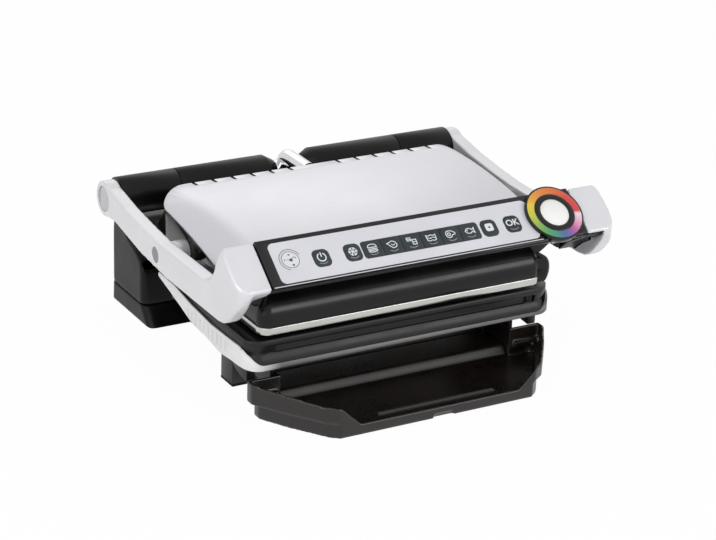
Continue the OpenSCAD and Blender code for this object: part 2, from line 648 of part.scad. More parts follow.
// ---- floating head ----
head_back = cover_back - cover_t;
head_corner = 11;
trim_z0 = rim_z + 7.5;
trim_z1 = trim_z0 + trim_h;
cover_front = head_front - 8;
cover_corner = 22;
front_corner = 16;
crown = 2;
crown_y = 10;
bow = 0.001;
edge_drop = 12;
edge_slope = 0.124;
flat_half = half_cover - 26;
shoulder_cells = 6;
length_cells = 12;
// Height of the cover's outer surface: a bow from back to front, less a drop at the shoulders.
function arch(y) = cover_z + crown - bow * pow(y - crown_y, 2);
function drop(y) = edge_drop + edge_slope * (cover_back - 10 - y);
function shoulder(x) = let (t = max(0, (abs(x) - flat_half) / (half_cover - flat_half))) t * t * (1.6 - 0.6 * t);
function cover_top(x, y) = arch(y) - drop(y) * shoulder(x);
shoulder_step = (half_cover - flat_half) / shoulder_cells;
grid_x = concat([for (i = [0 : shoulder_cells]) -half_cover + i * shoulder_step],
    [for (i = [0 : shoulder_cells]) flat_half + i * shoulder_step]);
// A block under the cover's surface lowered by top_off, down to thick below it or to a level floor.
module under_cover(top_off, y_front, thick, floor = undef) {
    ys = [for (i = [0 : length_cells]) cover_back - i * (cover_back + y_front) / length_cells];
    nx = len(grid_x);
    ny = len(ys);
    upper = [for (y = ys, x = grid_x) [x, y, cover_top(x, y) - top_off]];
    lower = [for (p = upper) [p[0], p[1], floor == undef ? p[2] - thick : floor]];
    n = nx * ny;
    cells = [for (j = [0 : ny - 2], i = [0 : nx - 2]) j * nx + i];
    top = [for (c = cells) each [[c, c + 1, c + 1 + nx], [c, c + 1 + nx, c + nx]]];
    low = [for (c = cells) each [[n + c, n + c + 1 + nx, n + c + 1], [n + c, n + c + nx, n + c + 1 + nx]]];
    back = [for (k = [0 : nx - 2]) each [[k, n + k, n + k + 1], [k, n + k + 1, k + 1]]];
    front = [for (k = [(ny - 1) * nx : n - 2]) each [[k, n + k + 1, n + k], [k, k + 1, n + k + 1]]];
    left = [for (j = [0 : ny - 2]) let (k = j * nx) each [[k, k + nx, n + k + nx], [k, n + k + nx, n + k]]];
    right = [for (j = [1 : ny - 1]) let (k = j * nx - 1)
        each [[k, n + k + nx, k + nx], [k, n + k, n + k + nx]]];
    polyhedron(concat(upper, lower), concat(top, low, back, front, left, right));
}
// The cover's plan, drawn in by g at the sides and the back and cut off at y_front.
module cover_plan(g, y_front) intersection() {
    mirror([0, 1]) round_front(half_cover - g, -cover_back + g, head_front + 1, cover_corner - g);
    round_front(half_cover - g, -y_front, cover_back, front_corner);
}
slot_pitch = 18.6;
slot_xs = [for (s = [-1, 1], i = [0 : 5]) s * (24 + i * slot_pitch)];
module top_cover() color(steel) difference() {
    intersection() {
        under_cover(0, head_front, cover_t);
        translate([0, 0, 60]) linear_extrude(120) cover_plan(0, cover_front);
    }
    for (x = slot_xs) translate([x - 1.2, cover_back - 5, cover_z - 8]) cube([2.4, 12, 16]);
}
module head_plan(g) {
    half_w = half_head - g;
    y0 = -head_front + g;
    y1 = head_back - g;
    translate([-half_w, y0 + head_corner]) square([2 * half_w, y1 - y0 - 2 * head_corner]);
    translate([-half_w + head_corner, y0]) square([2 * (half_w - head_corner), y1 - y0]);
    for (s = [-1, 1], y = [y0 + head_corner, y1 - head_corner])
        translate([s * (half_w - head_corner), y]) circle(head_corner);
}
head_low = 14;
module head_front_view() polygon([[-half_head + 1, trim_z1 + head_low - 1], [half_head - 1, trim_z1 + head_low - 1],
    [half_head + 1, trim_z1 + head_low], [boss_x0, trim_z1 + 23], [boss_x0, 2 * cover_z],
    [-boss_x0, 2 * cover_z], [-boss_x0, trim_z1 + 23], [-half_head - 1, trim_z1 + head_low]]);
// The head's front from the side: upright, then rounded back to the cover's front edge.
module head_side_view() polygon([[-head_front, trim_z1], [head_back, trim_z1], [head_back, trim_z1 + head_low],
    [-cover_front + 4, trim_z1 + 32], [-cover_front, trim_z1 + 30.5], [-head_front + 4, trim_z1 + 27.3],
    [-head_front + 1.4, trim_z1 + 23], [-head_front + 0.3, trim_z1 + 18], [-head_front, trim_z1 + 14]]);
band_wall = 2.5;
well_top = 128;
cheek_w = 19;
cheek_d = 15;
cheek_h = 22;
module upper_housing() color(black) difference() {
    union() {
        intersection() {
            under_cover(cover_t, head_front, 0, trim_z1 - 5);
            translate([0, 0, 60]) linear_extrude(120) cover_plan(cover_t, head_front);
            along_y(-head_front, head_back) head_front_view();
            translate([-half_cover, -head_front + head_corner, trim_z1 - 6])
                cube([2 * half_cover, head_front - head_corner + head_back, cover_z]);
        }
        intersection() {
            translate([0, 0, trim_z1]) linear_extrude(32) head_plan(0);
            along_x(-half_cover, half_cover) head_side_view();
        }
        translate([0, 0, trim_z0 - 0.5]) linear_extrude(trim_h + 1) head_plan(band_wall + 0.5);
        translate([0, 0, trim_z0 - lip_h]) linear_extrude(lip_h) head_plan(1.5);
        translate([half_head - cheek_w / 2 + 9.5, -head_front + 2 + cheek_d / 2, trim_z0 - 2.5])
            linear_extrude(cheek_h) soft_rect(cheek_w, cheek_d, 5);
    }
    plate_pocket(60, upper_plate_z + plate_t, 60, well_top);
    release_hole();
}
lip_h = 3;
upper_release_y = -30;
upper_release_z = 117;
module release_hole() translate([-half_cover - 5, upper_release_y, upper_release_z]) rod_x(3.3, 0, 16.2);
module upper_release() color("#0f0f0f") translate([-half_cover + 2, upper_release_y, upper_release_z])
    rod_x(3, -6, 5.5);
module trim_band() color("#dfe0e2") difference() {
    translate([0, 0, trim_z0]) linear_extrude(trim_h) head_plan(0);
    translate([0, 0, trim_z0 - 1]) linear_extrude(trim_h + 2) head_plan(band_wall);
    translate([half_head - cheek_w / 2 + 9.5, -head_front + 2 + cheek_d / 2, trim_z0 - 2.5])
        linear_extrude(cheek_h) soft_rect(cheek_w, cheek_d, 5);
}
boss_x0 = half_cover - 2;
boss_r = 9;
module pivot_bosses() color(silver) both_sides() translate([0, pivot_y, pivot_z]) difference() {
    rod_x(boss_r, boss_x0, arm_x0 - 1);
    rod_x(pin_r + run_gap, boss_x0 - 1, arm_x0);
}

pedestal();
pedestal_base();
rear_feet();
cord_gland();
power_board();
barrel_left();
barrel_right();
hinge_rod();
lower_housing();
housing_skirt();
belly_pan();
front_legs();
front_feet();
lower_plate();
lower_heater();
lower_release();
base_screws();
drip_tray();
left_arm();
right_arm();
barrel_end_left();
barrel_end_right();
hinge_caps();
handle_body();
panel_bezel();
panel_overlay();
indicator_bezel();
indicator_ring();
indicator_lens();
control_board();
arm_screws();
pivot_pins();
conduit();
power_key();
frozen_key();
program_key_1();
program_key_2();
program_key_3();
program_key_4();
program_key_5();
program_key_6();
manual_key();
ok_key();
upper_housing();
top_cover();
trim_band();
upper_plate();
upper_heater();
pivot_bosses();
upper_release();
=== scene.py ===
"""Electric contact grill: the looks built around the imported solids."""

import json
import math

import bmesh
import bpy
from mathutils import Matrix, Vector

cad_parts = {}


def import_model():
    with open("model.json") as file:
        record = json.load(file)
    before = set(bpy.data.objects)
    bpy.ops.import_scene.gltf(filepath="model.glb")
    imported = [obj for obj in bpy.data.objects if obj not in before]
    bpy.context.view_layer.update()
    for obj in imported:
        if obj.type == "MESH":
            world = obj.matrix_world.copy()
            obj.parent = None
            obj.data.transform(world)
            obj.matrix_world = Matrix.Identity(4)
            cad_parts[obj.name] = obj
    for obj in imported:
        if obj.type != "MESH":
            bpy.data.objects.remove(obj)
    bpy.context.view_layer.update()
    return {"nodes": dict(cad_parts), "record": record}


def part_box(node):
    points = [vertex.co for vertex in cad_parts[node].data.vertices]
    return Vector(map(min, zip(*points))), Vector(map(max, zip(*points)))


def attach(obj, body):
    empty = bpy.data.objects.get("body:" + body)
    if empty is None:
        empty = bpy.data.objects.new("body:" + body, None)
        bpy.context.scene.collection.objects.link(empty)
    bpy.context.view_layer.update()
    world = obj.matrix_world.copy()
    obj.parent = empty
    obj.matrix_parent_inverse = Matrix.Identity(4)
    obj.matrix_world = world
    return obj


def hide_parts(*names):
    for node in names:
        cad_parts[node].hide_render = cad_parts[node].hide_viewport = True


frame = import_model()
NODES = frame["nodes"]
RECORD = frame["record"]
BODY_OF = {n: body for body, names in RECORD["behaviour"]["bodies"].items() for n in names}
SLOT_OF = {s["node"]: s["material_slot"] for s in RECORD["subparts"]}
scene = bpy.context.scene
MM = 0.001

# Sizes of the slow colour clouds in plastic, metal and paint, mm, and the small shares of the finishes.
PLASTIC_CLOUD, METAL_CLOUD, PAINT_CLOUD = 35.0, 60.0, 45.0
ROUGH_DRIFT, COAT_ROUGH, FLAKE_DEPTH = 0.03, 0.2, 0.002


# ---------------------------------------------------------------- node helpers
def linear(hex_code):
    """sRGB hex to the linear colour that Blender's sockets take."""
    out = []
    for i in (0, 2, 4):
        c = int(hex_code[i:i + 2], 16) / 255
        out.append(c / 12.92 if c <= 0.04045 else ((c + 0.055) / 1.055) ** 2.4)
    return (*out, 1.0)


def add(tree, kind, links=None, **settings):
    """Adds a node: settings are its properties, links are inputs fed by a socket or set to a value."""
    node = tree.nodes.new(kind)
    for name, value in settings.items():
        setattr(node, name, value)
    for key, value in (links or {}).items():
        socket = node.inputs[key]
        if isinstance(value, bpy.types.NodeSocket):
            tree.links.new(value, socket)
        else:
            socket.default_value = value
    return node


def new_material(name):
    """An empty procedural material and its node tree."""
    m = bpy.data.materials.new(name)
    m.use_nodes = True
    m.node_tree.nodes.clear()
    return m, m.node_tree


def close(m, tree, shader):
    """Ends a material with its surface shader."""
    add(tree, "ShaderNodeOutputMaterial", {"Surface": shader.outputs[0]})
    return m


def coords(tree, scale=(1.0, 1.0, 1.0)):
    """Object coordinates, squeezed by scale."""
    tc = add(tree, "ShaderNodeTexCoord")
    return add(tree, "ShaderNodeMapping", {"Vector": tc.outputs["Object"], "Scale": scale}).outputs[0]


def noise(tree, vector, size_mm, detail=2.0, rough=0.5):
    """Noise whose blotches are about size_mm across."""
    return add(tree, "ShaderNodeTexNoise", {"Vector": vector, "Scale": 1.0 / (size_mm * MM),
                                            "Detail": detail, "Roughness": rough}).outputs["Fac"]


def spread(tree, value, low, high, from_low=0.3, from_high=0.7):
    """Maps the usual range of a noise to low..high."""
    return add(tree, "ShaderNodeMapRange", {"Value": value, "From Min": from_low, "From Max": from_high,
                                            "To Min": low, "To Max": high}).outputs[0]


def blend_colours(tree, factor, a, b):
    """Mixes two colours, each a socket or a value."""
    node = add(tree, "ShaderNodeMix", {0: factor}, data_type="RGBA")
    for socket, colour in ((node.inputs[6], a), (node.inputs[7], b)):
        if isinstance(colour, bpy.types.NodeSocket):
            tree.links.new(colour, socket)
        else:
            socket.default_value = colour
    return node.outputs[2]


def bump(tree, height, depth_mm):
    """Fine relief depth_mm high."""
    return add(tree, "ShaderNodeBump", {"Height": height, "Distance": depth_mm * MM}).outputs[0]


def moulded(name, dark, light, rough_low, rough_high, grain_mm, grain_depth, spec=0.5):
    """Injection-moulded plastic: faint colour clouds, uneven gloss and a spark-eroded grain."""
    m, t = new_material(name)
    co = coords(t)
    cloud = noise(t, co, PLASTIC_CLOUD, 3.0)
    grain = noise(t, co, grain_mm, 2.0, 0.6)
    colour = blend_colours(t, spread(t, cloud, 0.0, 1.0), linear(dark), linear(light))
    shader = add(t, "ShaderNodeBsdfPrincipled", {
        "Base Color": colour, "Roughness": spread(t, cloud, rough_low, rough_high),
        "Specular IOR Level": spec, "IOR": 1.5, "Normal": bump(t, grain, grain_depth)})
    return close(m, t, shader)


def metal(name, dark, light, rough_low, rough_high, stretch, line_mm, depth):
    """Metal with grinding lines: noise stretched along the grinding direction."""
    m, t = new_material(name)
    lines = noise(t, coords(t, stretch), line_mm, 3.0, 0.6)
    cloud = noise(t, coords(t), METAL_CLOUD, 2.0)
    colour = blend_colours(t, spread(t, lines, 0.0, 1.0, 0.25, 0.75), linear(dark), linear(light))
    rough = add(t, "ShaderNodeMath",
                {0: spread(t, lines, rough_low, rough_high), 1: spread(t, cloud, -ROUGH_DRIFT, ROUGH_DRIFT)},
                operation="ADD").outputs[0]
    shader = add(t, "ShaderNodeBsdfPrincipled", {"Base Color": colour, "Metallic": 1.0, "Roughness": rough,
                                                 "Normal": bump(t, lines, depth)})
    return close(m, t, shader)


def paint(name, dark, light, metallic, rough, flake_mm, coat=0.25):
    """Metallic paint on plastic: a fine flake under a thin clear coat."""
    m, t = new_material(name)
    co = coords(t)
    flake = noise(t, co, flake_mm, 1.0)
    cloud = noise(t, co, PAINT_CLOUD, 2.0)
    mixed = add(t, "ShaderNodeMath", {0: spread(t, flake, 0.0, 0.6), 1: spread(t, cloud, 0.0, 0.4)},
                operation="ADD").outputs[0]
    colour = blend_colours(t, mixed, linear(dark), linear(light))
    shader = add(t, "ShaderNodeBsdfPrincipled", {
        "Base Color": colour, "Metallic": metallic,
        "Roughness": spread(t, cloud, rough - ROUGH_DRIFT, rough + ROUGH_DRIFT),
        "Coat Weight": coat, "Coat Roughness": COAT_ROUGH, "Normal": bump(t, flake, FLAKE_DEPTH)})
    return close(m, t, shader)


# Colours of the indicator's scale by share of a turn, anticlockwise from the right.
RING_STOPS = [(0.0, "D8343B"), (0.10, "D9402F"), (0.18, "DE6A28"), (0.30, "E58A2B"), (0.375, "E9A92E"),
              (0.42, "EBCB36"), (0.50, "C9CB3B"), (0.565, "8DB74A"), (0.63, "4EA35E"), (0.70, "3C8E7C"),
              (0.745, "4568A6"), (0.80, "7C5CA6"), (0.84, "C55BA0"), (0.90, "EBA6C6"), (0.965, "F6E3EA"),
              (0.985, "D8343B")]


def ring_film():
    """Printed colour scale of the indicator: hue by the ring's own UV, with fine dark specks."""
    m, t = new_material("printed_colour_ring")
    uv = add(t, "ShaderNodeTexCoord").outputs["UV"]
    turn = add(t, "ShaderNodeSeparateXYZ", {0: uv}).outputs[0]
    ramp = add(t, "ShaderNodeValToRGB", {0: turn})
    elements = ramp.color_ramp.elements
    for element, (place, code) in zip(elements, (RING_STOPS[0], RING_STOPS[-1])):
        element.position, element.color = place, linear(code)
    for place, code in RING_STOPS[1:-1]:
        elements.new(place).color = linear(code)
    speck = noise(t, coords(t), 0.8, 2.0)
    colour = blend_colours(t, spread(t, speck, 0.0, 0.12), ramp.outputs[0], linear("2A2A2A"))
    shader = add(t, "ShaderNodeBsdfPrincipled", {"Base Color": colour,
                                                 "Roughness": spread(t, speck, 0.3, 0.4),
                                                 "Coat Weight": 0.4, "Coat Roughness": 0.1})
    return close(m, t, shader)


# Where the skirt's silver-white paint fades into the lip's painted highlight tone, m: across the left front
# corner, and front to rear.
FADE_LEFT, FADE_REAR = (-0.143, -0.118), (-0.112, -0.100)


def skirt_paint_and_lip_highlight():
    """Silver-white paint on the skirt's sides and front corners. The lip under the front is dark plastic, and
    its lighter tone here is a painted highlight on its rounded edge. The fade across the corner is partly the
    real change from white to dark and partly painted reflection falloff.
    """
    m, t = new_material("silver_white_skirt_and_lip_highlight")
    co = coords(t)
    place = add(t, "ShaderNodeSeparateXYZ", {0: co}).outputs
    left = spread(t, place[0], 1.0, 0.0, *FADE_LEFT)
    rear = spread(t, place[1], 0.0, 1.0, *FADE_REAR)
    painted = add(t, "ShaderNodeMath", {0: left, 1: rear}, operation="MAXIMUM").outputs[0]
    cloud = noise(t, co, PAINT_CLOUD)
    white = blend_colours(t, spread(t, cloud, 0.0, 1.0), linear("EBEBEC"), linear("F6F6F7"))
    # The lip's tone: a painted highlight on its dark rounded edge, lighter than the lip's own plastic.
    lip_highlight_grey = blend_colours(t, spread(t, cloud, 0.0, 1.0), linear("4E4C4B"), linear("5A5856"))
    shader = add(t, "ShaderNodeBsdfPrincipled", {
        "Base Color": blend_colours(t, painted, lip_highlight_grey, white), "Roughness": spread(t, cloud, 0.33, 0.4),
        "Coat Weight": 0.2, "Coat Roughness": COAT_ROUGH,
        "Normal": bump(t, noise(t, co, 0.3, 1.0), FLAKE_DEPTH)})
    return close(m, t, shader)


# ---------------------------------------------------------------- materials
# Arguments: name, darkest and lightest colour, then roughness range and relief as in each helper above.
SILVER = paint("silver_painted_abs", "D6D6DA", "E6E6EA", 0.25, 0.36, 0.25)
CAP_SILVER = paint("hinge_cap_silver", "B9B9BD", "C8C8CC", 0.3, 0.34, 0.25)
COVER_STEEL = metal("brushed_stainless_cover", "C3C3C8", "D0D0D4", 0.36, 0.46, (0.02, 1, 1), 0.6, 0.003)
BLACK_GLOSS = moulded("black_gloss_pbt", "070606", "0B0A09", 0.2, 0.26, 1.2, 0.003, spec=0.3)
BLACK_SATIN = moulded("black_satin_pbt", "0C0B0A", "121110", 0.32, 0.42, 0.9, 0.012, spec=0.17)
TRAY_BROWN = moulded("black_brown_tray", "130E0C", "1C1613", 0.24, 0.34, 1.0, 0.006, spec=0.55)
GREY_GRAIN = moulded("dark_grey_grained_pbt", "101010", "181818", 0.32, 0.44, 0.9, 0.02, spec=0.35)
# Skirt paint, with a painted highlight tone on the dark front lip.
SKIRT_WHITE_AND_LIP_HIGHLIGHT = skirt_paint_and_lip_highlight()
RUBBER = moulded("foot_rubber", "101010", "181818", 0.7, 0.85, 1.0, 0.05, spec=0.3)
PLATE_COAT = moulded("nonstick_coated_casting", "2A2B2D", "36373A", 0.4, 0.55, 0.8, 0.03)
HEATER = metal("oxidised_heater_tube", "4A4744", "6A6560", 0.4, 0.6, (1, 1, 1), 3.0, 0.02)
TURNED = metal("turned_steel", "87888C", "A3A4A8", 0.25, 0.35, (0.05, 1, 1), 0.5, 0.005)
SCREW = metal("screw_cap_metal", "7E7E82", "98989C", 0.3, 0.4, (1, 0.05, 1), 0.5, 0.005)
CHROME = metal("chrome_plating", "C9CACD", "DADBDD", 0.08, 0.13, (1, 1, 1), 12.0, 0.002)
BAND = metal("brushed_band", "B4B3B0", "D2D1CE", 0.16, 0.24, (0.02, 1, 1), 0.5, 0.003)
BOARD = moulded("green_board", "1C4A2A", "28603A", 0.35, 0.5, 2.0, 0.01)
PANEL_BLACK = moulded("black_panel_frame", "0E0E10", "19191C", 0.24, 0.32, 1.6, 0.012, spec=0.35)
RING_BLACK = moulded("black_ring_body", "08080A", "0F0F12", 0.14, 0.22, 1.0, 0.003, spec=0.35)
PANEL_FILM = paint("silver_panel_film", "D4D4DB", "E1E1E7", 0.12, 0.42, 0.3, coat=0.08)
KEY_SLATE = moulded("slate_key_cap", "232A2E", "30383D", 0.25, 0.34, 1.0, 0.004, spec=0.35)
PRINT_WHITE = moulded("white_key_print", "DDE1E3", "E9ECEE", 0.4, 0.5, 0.8, 0.003)
PRINT_DIM = moulded("dim_key_print", "80868A", "8E9498", 0.4, 0.5, 0.8, 0.003)
PRINT_GREY = moulded("grey_panel_print", "4A4C52", "5A5C62", 0.4, 0.5, 0.8, 0.003)
LENS = moulded("frosted_white_dome", "F1F1EE", "F8F8F5", 0.35, 0.45, 2.0, 0.005)
RING_FILM = ring_film()

SHADE = [
    (SILVER, ["left_arm", "right_arm", "pivot_bosses"]),
    (CAP_SILVER, ["hinge_caps"]),
    (COVER_STEEL, ["top_cover"]),
    (BLACK_GLOSS, ["upper_housing", "handle_body"]),
    (TRAY_BROWN, ["drip_tray"]),
    (BLACK_SATIN, ["pedestal", "pedestal_base", "barrel_left", "barrel_right", "barrel_end_left",
                   "barrel_end_right", "lower_release", "upper_release"]),
    (GREY_GRAIN, ["lower_housing", "belly_pan", "front_legs"]),
    (SKIRT_WHITE_AND_LIP_HIGHLIGHT, ["housing_skirt"]),
    (RUBBER, ["rear_feet", "front_feet", "cord_gland"]),
    (PLATE_COAT, ["lower_plate", "upper_plate"]),
    (HEATER, ["lower_heater", "upper_heater"]),
    (TURNED, ["hinge_rod", "pivot_pins", "base_screws"]),
    (SCREW, ["arm_screws"]),
    (CHROME, ["conduit"]),
    (BAND, ["trim_band"]),
    (BOARD, ["power_board", "control_board"]),
    (PANEL_BLACK, ["panel_bezel"]),
    (RING_BLACK, ["indicator_bezel"]),
    (PANEL_FILM, ["panel_overlay"]),
    (RING_FILM, ["indicator_ring"]),
    (KEY_SLATE, [n for n in NODES if n.endswith("_key") or "_key_" in n]),
    (LENS, ["indicator_lens"])]
FINISH = {name: material for material, names in SHADE for name in names}
for name, material in FINISH.items():
    NODES[name].data.materials.clear()
    NODES[name].data.materials.append(material)


# ---------------------------------------------------------------- piece helpers
def linked(name, data):
    """Makes an object and links it to the scene."""
    o = bpy.data.objects.new(name, data)
    scene.collection.objects.link(o)
    return o


def mesh_from(bm, name):
    """Turns a bmesh into a new mesh and frees it."""
    mesh = bpy.data.meshes.new(name)
    bm.to_mesh(mesh)
    bm.free()
    return mesh


def piece(name, mesh, material, body, smooth=0, stands_for=()):
    """Links a mesh as a piece of the grill, shaded smooth below the given angle."""
    o = linked(name, mesh)
    mesh.materials.clear()
    mesh.materials.append(material)
    if smooth:
        mesh.polygons.foreach_set("use_smooth", [True] * len(mesh.polygons))
        mesh.set_sharp_from_angle(angle=math.radians(smooth))
    if stands_for:
        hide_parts(*stands_for)
    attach(o, body)
    return o


def flatten(o):
    """Turns the object's modifiers into plain mesh."""
    graph = bpy.context.evaluated_depsgraph_get()
    mesh = bpy.data.meshes.new_from_object(o.evaluated_get(graph))
    o.modifiers.clear()
    o.data = mesh


def take_away(o, cutter):
    """Subtracts a cutter object from a piece."""
    cut = o.modifiers.new("cut", "BOOLEAN")
    cut.operation, cut.solver, cut.object = "DIFFERENCE", "EXACT", cutter


def settle(o, node):
    """Makes a shell plain mesh that stands for its CAD node, on its body and with its finish."""
    flatten(o)
    o.data.materials.clear()
    o.data.materials.append(FINISH[node])
    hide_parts(node)
    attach(o, BODY_OF[node])
    return o


WELD = 0.003 * MM                      # distance below which CAD vertices are one
FLAT_ANGLE = math.radians(0.4)         # faces closer in angle than this are one flat
EDGE_ANGLE = math.radians(32)          # edges sharper than this are rounded


def rounded(node, width, shape=None, cut=None):
    """A copy of a CAD node with its hard edges rounded by width mm. shape works on the bmesh before that,
    and cut is an object that is taken away from it."""
    mesh = NODES[node].data.copy()
    bm = bmesh.new()
    bm.from_mesh(mesh)
    bmesh.ops.remove_doubles(bm, verts=bm.verts, dist=WELD)
    bmesh.ops.dissolve_limit(bm, angle_limit=FLAT_ANGLE, verts=bm.verts, edges=bm.edges)
    if shape:
        shape(bm)
    bm.to_mesh(mesh)
    bm.free()
    mesh.polygons.foreach_set("use_smooth", [True] * len(mesh.polygons))
    o = linked(node + "_shell", mesh)
    if cut:
        take_away(o, cut)
        flatten(o)
    edge = o.modifiers.new("edge", "BEVEL")
    edge.width = width * MM
    edge.segments = 2
    edge.limit_method = "ANGLE"
    edge.angle_limit = EDGE_ANGLE
    edge.use_clamp_overlap = False
    edge.harden_normals = True
    edge.miter_outer = "MITER_ARC"
    return settle(o, node)


def relaxed(node, cell, passes, shape=None, cut=None):
    """A copy of a CAD node in small even cells whose edges are relaxed into soft moulded ones. cut is an
    object that is taken away from it last, so that it leaves crisp edges."""
    o = linked(node + "_shell", NODES[node].data.copy())
    grid = o.modifiers.new("grid", "REMESH")
    grid.mode = "VOXEL"
    grid.voxel_size = cell * MM
    grid.use_smooth_shade = True
    flatten(o)
    if shape:
        shape(o.data)
    relax = o.modifiers.new("relax", "SMOOTH")
    relax.factor = 0.5
    relax.iterations = passes
    if cut:
        take_away(o, cut)
    return settle(o, node)


def repeat_row(name, unit, count, start, step, material):
    """Geometry Nodes: copies of a small unit mesh in a straight row, made plain mesh. start and step are
    in mm."""
    tree = bpy.data.node_groups.new(name + "_row", "GeometryNodeTree")
    sockets = {}
    for label, kind in (("Unit", "NodeSocketGeometry"), ("Count", "NodeSocketInt"),
                        ("Start", "NodeSocketVector"), ("Step", "NodeSocketVector"),
                        ("Finish", "NodeSocketMaterial")):
        sockets[label] = tree.interface.new_socket(label, in_out="INPUT", socket_type=kind).identifier
    tree.interface.new_socket("Geometry", in_out="OUTPUT", socket_type="NodeSocketGeometry")
    given = add(tree, "NodeGroupInput").outputs
    line = add(tree, "GeometryNodeMeshLine", {"Count": given["Count"], "Start Location": given["Start"],
                                              "Offset": given["Step"]}, mode="OFFSET")
    copies = add(tree, "GeometryNodeInstanceOnPoints",
                 {"Points": line.outputs[0], "Instance": given["Unit"]})
    real = add(tree, "GeometryNodeRealizeInstances", {0: copies.outputs[0]})
    finish = add(tree, "GeometryNodeSetMaterial",
                 {"Geometry": real.outputs[0], "Material": given["Finish"]})
    add(tree, "NodeGroupOutput", {0: finish.outputs[0]})
    o = linked(name, unit)
    row = o.modifiers.new("row", "NODES")
    row.node_group = tree
    row[sockets["Count"]] = count
    row[sockets["Start"]] = [v * MM for v in start]
    row[sockets["Step"]] = [v * MM for v in step]
    row[sockets["Finish"]] = material
    flatten(o)
    return o


def block(size, radius):
    """A small box of size mm about the origin, with its upright edges rounded."""
    bm = bmesh.new()
    bmesh.ops.create_cube(bm, size=1.0)
    bmesh.ops.scale(bm, vec=[v * MM for v in size], verts=bm.verts)
    upright = [e for e in bm.edges if abs(e.verts[0].co.z - e.verts[1].co.z) > 0.5 * size[2] * MM]
    bmesh.ops.bevel(bm, geom=upright, offset=radius * MM, segments=3, affect="EDGES", profile=0.5)
    return mesh_from(bm, "unit")


# ---------------------------------------------------------------- shells
# Lengths are in mm unless a comment says m. A vertex belongs to a CAD face when it lies within NEAR of it.
NEAR, FINE_NEAR = 0.35, 0.05

# The head seen from above: front line, corner radius and |x| of the corners' centres. The shoulder tables
# give how far the front stands back at each level, in the CAD and as it shows.
HEAD_FRONT, HEAD_CORNER, CORNER_X = 117.0, 11.0, 126.0
HEAD_ARC_FROM = -105.9
CAD_SHOULDER = [(84.0, 0.0), (99.0, 0.0), (103.0, 0.3), (108.0, 1.4), (112.3, 4.0), (115.5, 8.0)]
NEW_SHOULDER = [(84.0, 0.0), (88.0, 0.1), (90.0, 0.27), (92.0, 0.54), (94.0, 1.0), (96.0, 1.64),
                (97.5, 2.28), (99.0, 3.0), (101.0, 4.15), (103.0, 5.4), (105.0, 6.85), (107.0, 8.35),
                (109.0, 10.0), (111.0, 10.9), (115.5, 10.95)]
CAD_HEAD_EDGE, HEAD_EXTRA_LEVELS = 85.0, [77.5, 80.0]

# The polished band's top and bottom, and the level between its CAD faces.
BAND_TOP, BAND_LOW, BAND_MIDDLE = 81.8, 75.0, 81.75

# The right cheek: from which x, y and z it is rounded, the level where it is widest, its half height, its
# width and how far it is drawn in.
CHEEK_X, CHEEK_Y, CHEEK_Z = 137.5, -99, 99
CHEEK_MIDDLE, CHEEK_HALF, CHEEK_WIDTH, CHEEK_IN = 87.0, 11.5, 9.0, 7.0


def along(table, z):
    """Value of a (level, value) table at z, or None outside it."""
    for (z0, a), (z1, b) in zip(table, table[1:]):
        if z0 <= z <= z1:
            return a + (b - a) * (z - z0) / (z1 - z0)
    return None


def cut_plane(bm, place, way):
    """Adds edges where a plane crosses the mesh."""
    bmesh.ops.bisect_plane(bm, geom=bm.verts[:] + bm.edges[:] + bm.faces[:], plane_co=place, plane_no=way,
                           dist=1e-7)


def cut_levels(bm, levels):
    """Adds edges at the given levels."""
    for z in levels:
        cut_plane(bm, (0, 0, z * MM), (0, 0, 1))


def round_head(bm):
    """Gives the head's front one even crown, lowers its edge to the band and rounds the right cheek."""
    cut_levels(bm, [z for z, _ in NEW_SHOULDER[:-1]] + HEAD_EXTRA_LEVELS)
    for v in bm.verts:
        x, y, z = (c / MM for c in v.co)
        if abs(z - CAD_HEAD_EDGE) < FINE_NEAR:
            v.co.z = BAND_TOP * MM
        old, new = along(CAD_SHOULDER, z), along(NEW_SHOULDER, z)
        if x > CHEEK_X and y < CHEEK_Y and z < CHEEK_Z:
            t = (z - CHEEK_MIDDLE) / CHEEK_HALF
            v.co.x -= (x - CHEEK_X) / CHEEK_WIDTH * CHEEK_IN * (1 - math.sqrt(max(0.0, 1 - t * t))) * MM
        if new is None or y > HEAD_ARC_FROM:
            continue
        dx, dy = max(abs(x) - CORNER_X, 0.0), -(HEAD_FRONT - HEAD_CORNER) - y
        r = math.hypot(dx, dy)
        if dx == 0:
            if abs(dy - HEAD_CORNER + old) < NEAR:
                v.co.y = (-HEAD_FRONT + new) * MM
        elif HEAD_CORNER - old - NEAR < r < HEAD_CORNER + 0.3:
            wanted = (HEAD_CORNER - new) / r
            v.co.x = math.copysign(CORNER_X + dx * wanted, x) * MM
            v.co.y = (-(HEAD_FRONT - HEAD_CORNER) - dy * wanted) * MM


# The lower housing seen from above, and how far its front stands back at each level. The floor of the
# groove in that front is set 2 mm deeper, so that the crown leaves it its depth.
BASE_FRONT, BASE_CORNER, BASE_CORNER_X = 116.0, 16.0, 132.5
GROOVE_Y, GROOVE_LEVELS, GROOVE_DEEPER = -113.5, (57.5, 65.5), 2.0
BELLY = [(48.0, 0.0), (49.0, 0.02), (50.0, 0.1), (51.0, 0.22), (52.0, 0.4), (53.0, 0.65), (54.0, 0.98),
         (55.0, 1.38), (56.0, 1.8), (57.0, 2.2), (58.0, 2.45), (59.0, 2.3), (60.5, 1.7), (62.5, 1.0),
         (65.0, 0.5), (66.0, 0.2), (67.0, 0.05), (68.5, 0.0), (69.4, 0.1), (70.0, 0.3), (70.5, 0.62),
         (71.0, 1.25)]


